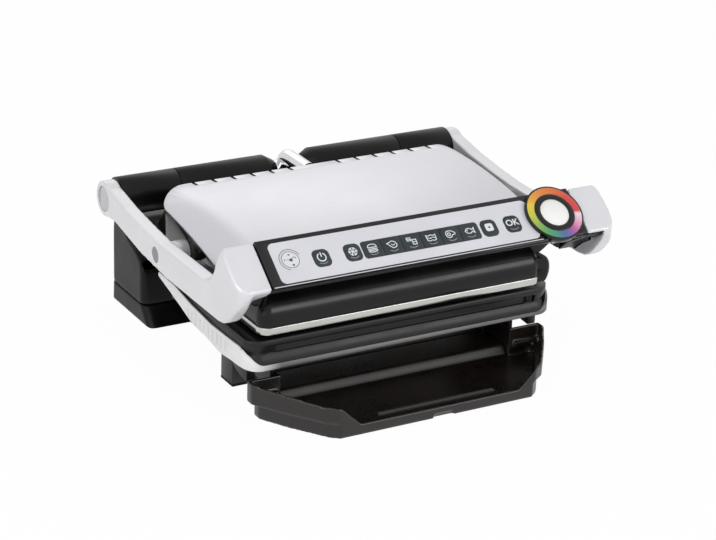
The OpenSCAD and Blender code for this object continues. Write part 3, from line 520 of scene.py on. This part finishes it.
def round_belly(bm):
    """Crowns the front of the lower housing below its groove and rounds its rim."""
    cut_levels(bm, [z for z, _ in BELLY[1:-1]])
    for v in bm.verts:
        x, y, z = (c / MM for c in v.co)
        inset = along(BELLY, z)
        if inset is None or y > -(BASE_FRONT - BASE_CORNER):
            continue
        dx, dy = max(abs(x) - BASE_CORNER_X, 0.0), -(BASE_FRONT - BASE_CORNER) - y
        r = math.hypot(dx, dy)
        if abs(r - BASE_CORNER) < 0.3:
            inset *= min(1.0, 1.6 * dy / r)         # dies out towards the sides
            v.co.x = math.copysign(abs(x) - inset * dx / r, x) * MM
            v.co.y = (y + inset * dy / r) * MM
        elif abs(y - GROOVE_Y) < 0.2 and GROOVE_LEVELS[0] < z < GROOVE_LEVELS[1]:
            v.co.y += GROOVE_DEEPER * MM


LIP_BACK = -100                                        # the lip lies in front of this y
LIP_TOP, LIP_TOP_HALF, LIP_TOP_DOWN = (46.6, 48.6), 138, 1.0
LIP_LOW, LIP_LOW_FROM, LIP_LOW_UP = 45.5, 105, 1.6


def thin_lip(bm):
    """Thins the skirt's lip under the front to the narrow line that shows, more so at its right end."""
    for v in bm.verts:
        x, y, z = (c / MM for c in v.co)
        if y >= LIP_BACK:
            continue
        if LIP_TOP[0] < z < LIP_TOP[1] and abs(x) < LIP_TOP_HALF:
            v.co.z -= LIP_TOP_DOWN * MM
        if z < LIP_LOW and x > LIP_LOW_FROM:
            v.co.z += LIP_LOW_UP * MM


# The pedestal's lower band: level of its top, its height, y of its front at the top, how far the front runs
# out to the bottom (the rear does by 1 mm), y of the rear corners' centres, |x| of all four and their radius.
FOOT_TOP, FOOT_HEIGHT = 18.0, 17.0
FOOT_FRONT, FOOT_FRONT_RUN, FOOT_REAR = 101.5, 14.0, 165.5
FOOT_CORNER_X, FOOT_CORNER = 134.5, 8.0


def round_foot(mesh):
    """Rounds the upright corners of the pedestal's lower band like those of the part above it."""
    for v in mesh.vertices:
        x, y, z = (c / MM for c in v.co)
        down = (FOOT_TOP - z) / FOOT_HEIGHT
        front, rear = FOOT_FRONT - FOOT_FRONT_RUN * down + FOOT_CORNER, FOOT_REAR + down
        for centre, way in ((front, -1), (rear, 1)):
            dx, dy = abs(x) - FOOT_CORNER_X, way * (y - centre)
            r = math.hypot(dx, dy)
            if dx > 0 and dy > 0 and r > FOOT_CORNER:
                v.co.x = math.copysign(FOOT_CORNER_X + dx * FOOT_CORNER / r, x) * MM
                v.co.y = (centre + way * dy * FOOT_CORNER / r) * MM


def lower_band(bm):
    """Brings the polished band to the levels where it shows."""
    for v in bm.verts:
        v.co.z = (BAND_TOP if v.co.z > BAND_MIDDLE * MM else BAND_LOW) * MM


# The riser in the tray's floor: its y, run, lower and upper level, and the part of the floor it works on.
FOLD_Y, FOLD_RUN, FOLD_Z0, FOLD_Z1 = -104.5, 7.0, 7.0, 15.0
FLOOR_LEVELS, FLOOR_HALF, FLOOR_FROM = (1.8, 9.0), 141, -112


def raise_rear(mesh):
    """Steps the tray's floor up behind its fold, with a rounded riser."""
    floor_points = [v for v in mesh.vertices if v.normal.z > 0.2]
    for v in floor_points:
        x, y, z = (c / MM for c in v.co)
        if FLOOR_LEVELS[0] < z < FLOOR_LEVELS[1] and abs(x) < FLOOR_HALF and y > FLOOR_FROM:
            t = min(max((y - FOLD_Y) / FOLD_RUN, 0.0), 1.0)
            v.co.z = (FOLD_Z0 + (FOLD_Z1 - FOLD_Z0) * t * t * (3 - 2 * t)) * MM


# The black part of the right end block, m: inside INNER_X, in front of BLACK_BACK and below a plane that
# meets y = 0 at BLACK_TOP and rises to the front by BLACK_RISE.
INNER_X, BLACK_BACK, BLACK_TOP, BLACK_RISE = 0.1668, -0.100, 0.1265, 0.05


def blacken_underside(o):
    """The handle's black underside, which the photo shows going on below the right end block."""
    bm = bmesh.new()
    bm.from_mesh(o.data)
    cut_plane(bm, (INNER_X, 0, 0), (1, 0, 0))
    cut_plane(bm, (0, 0, BLACK_TOP), (0, BLACK_RISE, 1))
    cut_plane(bm, (0, BLACK_BACK, 0), (0, 1, 0))
    for face in bm.faces:
        c = face.calc_center_median()
        if c.x < INNER_X and c.y < BLACK_BACK and c.z < BLACK_TOP - BLACK_RISE * c.y:
            face.material_index = 1
    bm.to_mesh(o.data)
    bm.free()
    o.data.materials.append(BLACK_SATIN)


# Slots in the cover's rear edge: six on each side of the conduit.
SLOT_SIZE, SLOT_RADIUS, SLOTS_A_SIDE = (3.0, 18.0, 18.0), 1.2, 6
SLOT_FROM, SLOT_Y, SLOT_Z, SLOT_PITCH = 24.0, 54.5, 146.0, 18.6

# Seats of the hinge's caps in the arms, m.
HINGE_Y, HINGE_Z, SEAT_X, SEAT_RADIUS, SEAT_DEPTH = 0.103, 0.127, 0.180, 0.0113, 0.0032


def slot_cutters():
    """One object that cuts all the cover's slots."""
    bm = bmesh.new()
    for side, label in ((-1, "left"), (1, "right")):
        row = repeat_row("cover_slot_cutters_" + label, block(SLOT_SIZE, SLOT_RADIUS), SLOTS_A_SIDE,
                         (side * SLOT_FROM, SLOT_Y, SLOT_Z), (side * SLOT_PITCH, 0, 0), COVER_STEEL)
        bm.from_mesh(row.data)
        bpy.data.objects.remove(row)
    return linked("cover_slot_cutters", mesh_from(bm, "cover_slot_cutters"))


def cap_cutters():
    """One object that cuts the seats of both hinge caps."""
    bm = bmesh.new()
    for side in (-1, 1):
        turn = (Matrix.Translation((side * SEAT_X, HINGE_Y, HINGE_Z))
                @ Matrix.Rotation(math.radians(90), 4, "Y"))
        bmesh.ops.create_cone(bm, cap_ends=True, segments=64, radius1=SEAT_RADIUS, radius2=SEAT_RADIUS,
                              depth=SEAT_DEPTH, matrix=turn)
    return linked("cap_cutters", mesh_from(bm, "cap_cutters"))


# The control panel's slope and the place of its plane's origin, mm.
SLOPE = math.radians(37)
PANEL_Y, PANEL_Z = -124.4, 163.8
PANEL_NORMAL = Vector((0, -math.sin(SLOPE), math.cos(SLOPE)))
STRIP_END_RADIUS = 3.2


def round_strip_end(side):
    """Rounds the two corners of a key at one end of the programme strip."""
    def shape(bm):
        edge_x = side * max(side * v.co.x for v in bm.verts)
        ends = []
        for e in bm.edges:
            a, b = e.verts[0].co, e.verts[1].co
            at_end = abs(a.x - edge_x) < 0.1 * MM and abs(b.x - edge_x) < 0.1 * MM
            if at_end and abs((b - a).normalized().dot(PANEL_NORMAL)) > 0.9:
                ends.append(e)
        bmesh.ops.bevel(bm, geom=ends, offset=STRIP_END_RADIUS * MM, segments=5, affect="EDGES",
                        profile=0.5)
    return shape


# Pieces that only get their edges rounded, with the radius in mm.
PLAIN_EDGES = {
    "handle_body": 0.5, "belly_pan": 0.5, "front_legs": 0.6, "barrel_left": 0.5, "barrel_right": 0.5,
    "barrel_end_left": 0.5, "barrel_end_right": 0.5, "panel_bezel": 0.35, "indicator_bezel": 0.4,
    "hinge_caps": 0.3, "pivot_bosses": 0.5, "power_key": 0.35, "frozen_key": 0.35, "manual_key": 0.35,
    "ok_key": 0.35, "program_key_2": 0.2, "program_key_3": 0.2, "program_key_4": 0.2, "program_key_5": 0.2}


def shells():
    """Softens every moulded or pressed piece."""
    cutters = slot_cutters()
    rounded("top_cover", 0.5, cut=cutters)
    bpy.data.objects.remove(cutters)
    rounded("upper_housing", 0.4, shape=round_head)
    rounded("trim_band", 0.7, shape=lower_band)
    cutters = cap_cutters()
    relaxed("left_arm", 0.9, 26, cut=cutters)
    blacken_underside(relaxed("right_arm", 0.9, 26, cut=cutters))
    bpy.data.objects.remove(cutters)
    relaxed("drip_tray", 1.15, 6, raise_rear)
    relaxed("pedestal", 1.6, 8)
    relaxed("pedestal_base", 1.6, 4, round_foot)
    rounded("lower_housing", 0.5, shape=round_belly)
    rounded("housing_skirt", 0.3, shape=thin_lip)
    rounded("program_key_1", 0.2, shape=round_strip_end(-1))
    rounded("program_key_6", 0.2, shape=round_strip_end(1))
    for name, width in PLAIN_EDGES.items():
        rounded(name, width)


shells()


# ---------------------------------------------------------------- control panel
# In the panel's own frame, mm: height of the key tops, place of their row, the indicator's axis, the dial
# symbol's centre, and x of each key.
KEY_TOP, KEY_V = 0.4, -25.0
SYMBOL_V = KEY_V + 0.6
RING_U, RING_V = 125.0, -22.8
DIAL_U, DIAL_V = -125.0, -21.5
KEYS = {"power_key": -98.0, "frozen_key": -69.5, "program_key_1": -51.4, "program_key_2": -32.9,
        "program_key_3": -14.4, "program_key_4": 4.1, "program_key_5": 22.6, "program_key_6": 41.1,
        "manual_key": 60.2, "ok_key": 83.0}


def on_panel(u, v, w):
    """A point of the panel's own frame in mm (across, up the slope, outwards) as a place in metres."""
    return Vector((u, PANEL_Y + v * math.cos(SLOPE) - w * math.sin(SLOPE),
                   PANEL_Z + v * math.sin(SLOPE) + w * math.cos(SLOPE))) * MM


def arc(cx, cy, r0, r1, a0, a1, steps):
    """A curved band between two radii, as a closed outline."""
    angles = [math.radians(a0 + (a1 - a0) * i / steps) for i in range(steps + 1)]
    return ([(cx + r1 * math.cos(a), cy + r1 * math.sin(a)) for a in angles]
            + [(cx + r0 * math.cos(a), cy + r0 * math.sin(a)) for a in reversed(angles)])


def bar(x0, y0, x1, y1, w):
    """A straight stroke of width w."""
    n = Vector((y0 - y1, x1 - x0)).normalized() * (w / 2)
    return [(x0 + n.x, y0 + n.y), (x0 - n.x, y0 - n.y), (x1 - n.x, y1 - n.y), (x1 + n.x, y1 + n.y)]


def disc(cx, cy, r, steps=18):
    """A filled circle, as a closed outline."""
    angles = [2 * math.pi * i / steps for i in range(steps)]
    return [(cx + r * math.cos(a), cy + r * math.sin(a)) for a in angles]


def soft_box(cx, cy, w, h, r):
    """A rectangle with round corners, as a closed outline."""
    out = []
    steps = 5
    for sx, sy, start in ((1, 1, 0), (-1, 1, 90), (-1, -1, 180), (1, -1, 270)):
        for i in range(steps + 1):
            a = math.radians(start + 90 * i / steps)
            out.append((cx + sx * (w / 2 - r) + r * math.cos(a), cy + sy * (h / 2 - r) + r * math.sin(a)))
    return out


def loop(points, w, closed=True):
    """A stroke of width w along a line of points."""
    ends = list(zip(points, points[1:] + points[:1])) if closed else list(zip(points, points[1:]))
    return [bar(*a, *b, w) for a, b in ends] + [disc(*p, w / 2, steps=8) for p in points]


SINK, LAYER, LAYERS = 0.03, 0.004, 5      # print sinks in, and overlapping outlines lie in thin layers, mm


def printed(name, outlines, u, v, w, material, body, thick=0.12):
    """Printed marks: each outline becomes a thin closed film that stands thick mm proud of height w."""
    bm = bmesh.new()
    for k, outline in enumerate(outlines):
        top = w + thick + LAYER * (k % LAYERS)
        upper = [bm.verts.new(on_panel(u + x, v + y, top)) for x, y in outline]
        lower = [bm.verts.new(on_panel(u + x, v + y, w - SINK)) for x, y in outline]
        bm.faces.new(upper)
        bm.faces.new(list(reversed(lower)))
        for i in range(len(outline)):
            j = (i + 1) % len(outline)
            bm.faces.new((lower[i], lower[j], upper[j], upper[i]))
    bmesh.ops.recalc_face_normals(bm, faces=bm.faces)
    return piece(name, mesh_from(bm, name), material, body)


def bun(cy, k):
    """Half of a roll in outline, k high."""
    return [(-4, cy), (-3.8, cy + 1.6 * k), (-2.6, cy + 2.8 * k), (0, cy + 3.3 * k), (2.6, cy + 2.8 * k),
            (3.8, cy + 1.6 * k), (4, cy)]


# Symbols on the keys, about the key's centre in mm.
ICONS = {
    "power_key": [arc(0, 0, 3.2, 4.2, 118, 422, 28), bar(0, 0.4, 0, 4.6, 1.0)],
    "frozen_key":
        [bar(-4.2 * c, -4.2 * s, 4.2 * c, 4.2 * s, 0.8) for c, s in ((1, 0), (0.5, 0.87), (-0.5, 0.87))]
        + [bar(2.2 * math.cos(a), 2.2 * math.sin(a), 3.9 * math.cos(a + t), 3.9 * math.sin(a + t), 0.7)
           for a in [math.radians(60 * i) for i in range(6)] for t in (0.38, -0.38)],
    "program_key_1":
        loop(bun(0.8, 0.9), 0.8) + loop([(-4, -0.7), (4, -0.7)], 0.8, False) + loop(bun(-2.1, -0.5), 0.8),
    "program_key_2":
        loop([(-4.6, 1.6), (-2.4, 2.2), (0.4, 3.4), (3.2, 2.2), (4.4, -0.2), (3.0, -2.6), (0.2, -3.2),
              (-1.8, -1.6), (-3.0, 0.2)], 0.8)
        + loop([(-0.6, 0.6), (1.0, -0.8), (2.4, 0.2)], 0.7, False),
    "program_key_3":
        loop([(-4.2, 3.4), (-0.6, 3.4), (-0.6, 0.6), (-4.2, 0.6)], 0.7)
        + loop([(0.4, 1.2), (4.0, 1.2), (4.0, -3.2), (0.4, -3.2)], 0.8)
        + loop([(0.6, -0.9), (3.8, -0.9)], 0.7, False) + loop([(-3.8, 2.0), (-1.0, 2.0)], 0.6, False),
    "program_key_4":
        loop([(-4.4, 2.6), (-2.2, 1.8), (0, 2.6), (2.2, 1.8), (4.4, 2.6), (4.0, -2.4), (2.0, -3.0),
              (0, -2.4), (-2.0, -3.0), (-4.0, -2.4)], 0.8)
        + loop([(-3.6, 0.2), (-1.2, -0.6), (1.2, 0.2), (3.6, -0.6)], 0.7, False),
    "program_key_5":
        loop([(-4.4, 0.6), (-3.4, 2.8), (-0.8, 3.4), (2.0, 2.8), (4.4, 0.8), (4.0, -0.6), (1.6, -0.8),
              (0.2, -2.6), (-2.2, -3.2), (-4.0, -1.8)], 0.8)
        + [arc(-1.4, 0.2, 0.9, 1.7, 0, 360, 14)],
    "program_key_6":
        loop([(-4.4, 0), (-2.4, 2.2), (0.4, 2.4), (2.4, 0.8), (4.4, 2.6), (4.0, 0), (4.4, -2.6),
              (2.4, -0.8), (0.4, -2.4), (-2.4, -2.2)], 0.8)
        + [disc(-2.2, 0.5, 0.6)],
    "manual_key": [soft_box(0, 0, 7.4, 7.4, 2.0)],
}
KEY_LIGHT = [arc(0, 0, 6.5 - 0.7, 6.5, 232, 308, 12)]
KEY_DOT = [soft_box(0, 0, 2.0, 1.6, 0.5)]

# The dial symbol at the left of the film, and the white ground under it.
DIAL_GROUND = [disc(0, 0, 7.5, steps=48)]
DIAL = [arc(0, 0, 7.3, 7.8, 0, 360, 48), arc(0, 0, 9.3, 9.8, 20, 250, 40), disc(0.4, -0.4, 1.5),
        disc(0, 4.6, 0.8), disc(1.0, -5.2, 1.0), disc(-5.0, 0.4, 0.6), disc(5.0, 1.0, 0.6),
        bar(1.2, 0.6, 4.6, 2.4, 0.5), bar(-1.0, -0.2, -3.2, 0.6, 0.4)]


def panel_marks():
    """Symbols and dim crescents of the keys, and the dial symbol on the film."""
    for key, u in KEYS.items():
        body, slot = BODY_OF[key], SLOT_OF[key]
        if key in ICONS:
            printed(key + "_print", ICONS[key], u, SYMBOL_V, KEY_TOP, PRINT_WHITE, body)
        if key != "manual_key":
            printed(key + "_light", KEY_LIGHT, u, SYMBOL_V, KEY_TOP, PRINT_DIM, body)
    printed("manual_key_dot", KEY_DOT, KEYS["manual_key"], SYMBOL_V, KEY_TOP + 0.14, PRINT_GREY,
            BODY_OF["manual_key"])
    printed("dial_symbol_print", DIAL, DIAL_U, DIAL_V, 0.0, PRINT_GREY, "lid", 0.08)
    printed("dial_symbol_ground", DIAL_GROUND, DIAL_U, DIAL_V, 0.0, PRINT_WHITE, "lid", 0.05)


def ok_letters():
    """The two letters on the OK key, as a mesh made from a text curve, in mm."""
    curve = bpy.data.curves.new("ok_text", "FONT")
    curve.body = "OK"
    curve.size = 8.4
    curve.align_x = "CENTER"
    curve.align_y = "CENTER"
    curve.extrude = 0.06
    curve.offset = 0.16
    curve.resolution_u = 4
    o = linked("ok_text", curve)
    mesh = bpy.data.meshes.new_from_object(o.evaluated_get(bpy.context.evaluated_depsgraph_get()))
    bpy.data.objects.remove(o)
    for v in mesh.vertices:
        v.co = on_panel(KEYS["ok_key"] + v.co.x, KEY_V + 1.0 + v.co.y, KEY_TOP + 0.06 + v.co.z)
    piece("ok_key_letters", mesh, PRINT_WHITE, BODY_OF["ok_key"])


RING_STEPS = 96


def lathe(name, profile, material, stands_for=()):
    """A ring on the indicator's axis from a closed profile of (radius, height) points in mm, with UV.x round
    the ring."""
    bm = bmesh.new()
    uv = bm.loops.layers.uv.new("turn")
    rings = []
    for i in range(RING_STEPS):
        a = 2 * math.pi * i / RING_STEPS
        rings.append([bm.verts.new(on_panel(RING_U + r * math.cos(a), RING_V + r * math.sin(a), h))
                      for r, h in profile])
    n = len(profile)
    for i in range(RING_STEPS):
        here, there = rings[i], rings[(i + 1) % RING_STEPS]
        for j in range(n):
            k = (j + 1) % n
            face = bm.faces.new((here[j], there[j], there[k], here[k]))
            for corner, (turn, side) in zip(face.loops, ((i, j), (i + 1, j), (i + 1, k), (i, k))):
                corner[uv].uv = (turn / RING_STEPS, side / n)
    bmesh.ops.recalc_face_normals(bm, faces=bm.faces)
    return piece(name, mesh_from(bm, name), material, "lid", smooth=50, stands_for=stands_for)


def indicator():
    """The coloured ring with its scale, and the raised collar inside it."""
    lathe("indicator_scale",
          [(18.5, 2.1), (25.0, 2.1), (25.0, 3.0), (24.7, 3.15), (18.8, 3.15), (18.5, 3.0)],
          RING_FILM, stands_for=("indicator_ring",))
    lathe("indicator_inner_collar",
          [(13.2, 3.0), (17.8, 3.0), (18.3, 3.25), (17.6, 3.7), (14.2, 3.9), (13.3, 3.5)],
          RING_BLACK)


PATCH_RADIUS, PATCH_REACH = 3.4, 0.35       # of the film in the corners of the strip's opening
LINE_V, LINE_MARGIN = (-44.6, -43.9), 1.0   # the bright line: its edges, and its distance from the left end
LINE_TO_RING = 20                           # and how far from the indicator's axis it ends


def strip_corners():
    """Film that fills the corners of the programme strip's opening."""
    outlines = []
    for side, key in ((-1, "program_key_1"), (1, "program_key_6")):
        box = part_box(key)
        edge_x = box[0][0] / MM if side < 0 else box[1][0] / MM
        vs = [(v.co.y / MM - PANEL_Y) * math.cos(SLOPE) + (v.co.z / MM - PANEL_Z) * math.sin(SLOPE)
              for v in NODES[key].data.vertices]
        for up, v in ((-1, min(vs)), (1, max(vs))):
            x0, v0 = edge_x + side * PATCH_REACH, v + up * PATCH_REACH
            cx, cv = x0 - side * PATCH_RADIUS, v0 - up * PATCH_RADIUS
            angles = [math.radians(90 * i / 6) for i in range(7)]
            outlines.append([(x0, v0)] + [(cx + side * PATCH_RADIUS * math.cos(a),
                                           cv + up * PATCH_RADIUS * math.sin(a)) for a in angles])
    printed("programme_strip_corners", outlines, 0, 0, -0.25, PANEL_FILM, "lid", 0.25)


def front_line():
    """The bright line along the panel's front."""
    left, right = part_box("panel_bezel")[0][0] / MM + LINE_MARGIN, RING_U - LINE_TO_RING
    low, high = LINE_V
    printed("panel_front_line", [[(left, low), (right, low), (right, high), (left, high)]], 0, 0, 0.0,
            SILVER, "lid", 0.15)


panel_marks()
strip_corners()
front_line()
ok_letters()
indicator()


# ---------------------------------------------------------------- studio
WHITE = (1, 1, 1, 1)
LENS_MM, SENSOR_MM = 118.66, 36.0
CAMERA_ANGLES = (-30.0, 22.3, 2.0)                # azimuth, elevation and roll in degrees
CAMERA_TARGET, CAMERA_DISTANCE = (0.0113, -0.0135, 0.0706), 2.0722
LAMP_AIM = (0, 0, 0.08)
SOFT_LIGHT, FLOOR_SHARE, FLOOR_HALF_WIDTH = 0.52, 0.97, 6.0


def camera():
    """The photo's view, fitted to its straight edges."""
    data = bpy.data.cameras.new("camera")
    data.lens = LENS_MM
    data.sensor_width = SENSOR_MM
    data.clip_start = 0.1
    data.clip_end = 20
    cam = linked("camera", data)
    azimuth, elevation, roll = (math.radians(v) for v in CAMERA_ANGLES)
    forward = Vector((-math.sin(azimuth) * math.cos(elevation), math.cos(azimuth) * math.cos(elevation),
                      -math.sin(elevation)))
    level = Vector((math.cos(azimuth), math.sin(azimuth), 0))
    upright = level.cross(forward)
    right = level * math.cos(roll) + upright * math.sin(roll)
    up = upright * math.cos(roll) - level * math.sin(roll)
    turn = Matrix((right, up, -forward)).transposed().to_4x4()
    cam.matrix_world = Matrix.Translation(Vector(CAMERA_TARGET) - forward * CAMERA_DISTANCE) @ turn
    scene.camera = cam


def seen_ray(t):
    """1 for camera, reflection and glass rays, which see the white backdrop, and 0 for the rest."""
    path = add(t, "ShaderNodeLightPath")
    seen = path.outputs["Is Camera Ray"]
    for ray in ("Is Glossy Ray", "Is Transmission Ray"):
        seen = add(t, "ShaderNodeMath", {0: seen, 1: path.outputs[ray]}, operation="MAXIMUM").outputs[0]
    return seen


def world():
    """Plain white to the camera, reflections and glass, and a softer light on everything else."""
    w = bpy.data.worlds.new("studio")
    scene.world = w
    w.use_nodes = True
    t = w.node_tree
    t.nodes.clear()
    seen = seen_ray(t)
    soft = add(t, "ShaderNodeBackground", {"Color": WHITE, "Strength": SOFT_LIGHT})
    shown = add(t, "ShaderNodeBackground", {"Color": WHITE, "Strength": 1.0})
    mix = add(t, "ShaderNodeMixShader", {0: seen, 1: soft.outputs[0], 2: shown.outputs[0]})
    add(t, "ShaderNodeOutputWorld", {"Surface": mix.outputs[0]})


def lamp(name, place, size, watts):
    """An area lamp that points at the middle of the grill."""
    data = bpy.data.lights.new(name, "AREA")
    data.shape = "RECTANGLE"
    data.size, data.size_y = size
    data.energy = watts
    o = linked(name, data)
    o.location = place
    o.rotation_euler = (Vector(LAMP_AIM) - Vector(place)).to_track_quat("-Z", "Y").to_euler()


def floor():
    """White paper that still takes the grill's contact shadow."""
    me = bpy.data.meshes.new("floor")
    s = FLOOR_HALF_WIDTH
    me.from_pydata([(-s, -s, 0), (s, -s, 0), (s, s, 0), (-s, s, 0)], [], [(0, 1, 2, 3)])
    o = linked("floor", me)
    m, t = new_material("white_paper_floor")
    diffuse = add(t, "ShaderNodeBsdfDiffuse", {"Color": linear("FCFCFC")})
    white = add(t, "ShaderNodeEmission", {"Color": WHITE, "Strength": 1.0})
    share = add(t, "ShaderNodeMath", {0: seen_ray(t), 1: FLOOR_SHARE}, operation="MULTIPLY").outputs[0]
    close(m, t, add(t, "ShaderNodeMixShader", {0: share, 1: diffuse.outputs[0], 2: white.outputs[0]}))
    me.materials.append(m)


camera()
world()
floor()
lamp("key_lamp", (-0.9, -0.9, 1.7), (1.2, 1.2), 6)
lamp("left_lamp", (-1.8, -0.9, 0.8), (1.0, 1.0), 8)
lamp("back_lamp", (0.4, 1.6, 1.2), (1.6, 0.8), 3)
lamp("front_softbox", (0.93, -1.64, 0.62), (1.5, 0.45), 10)
scene.view_settings.view_transform = "Standard"
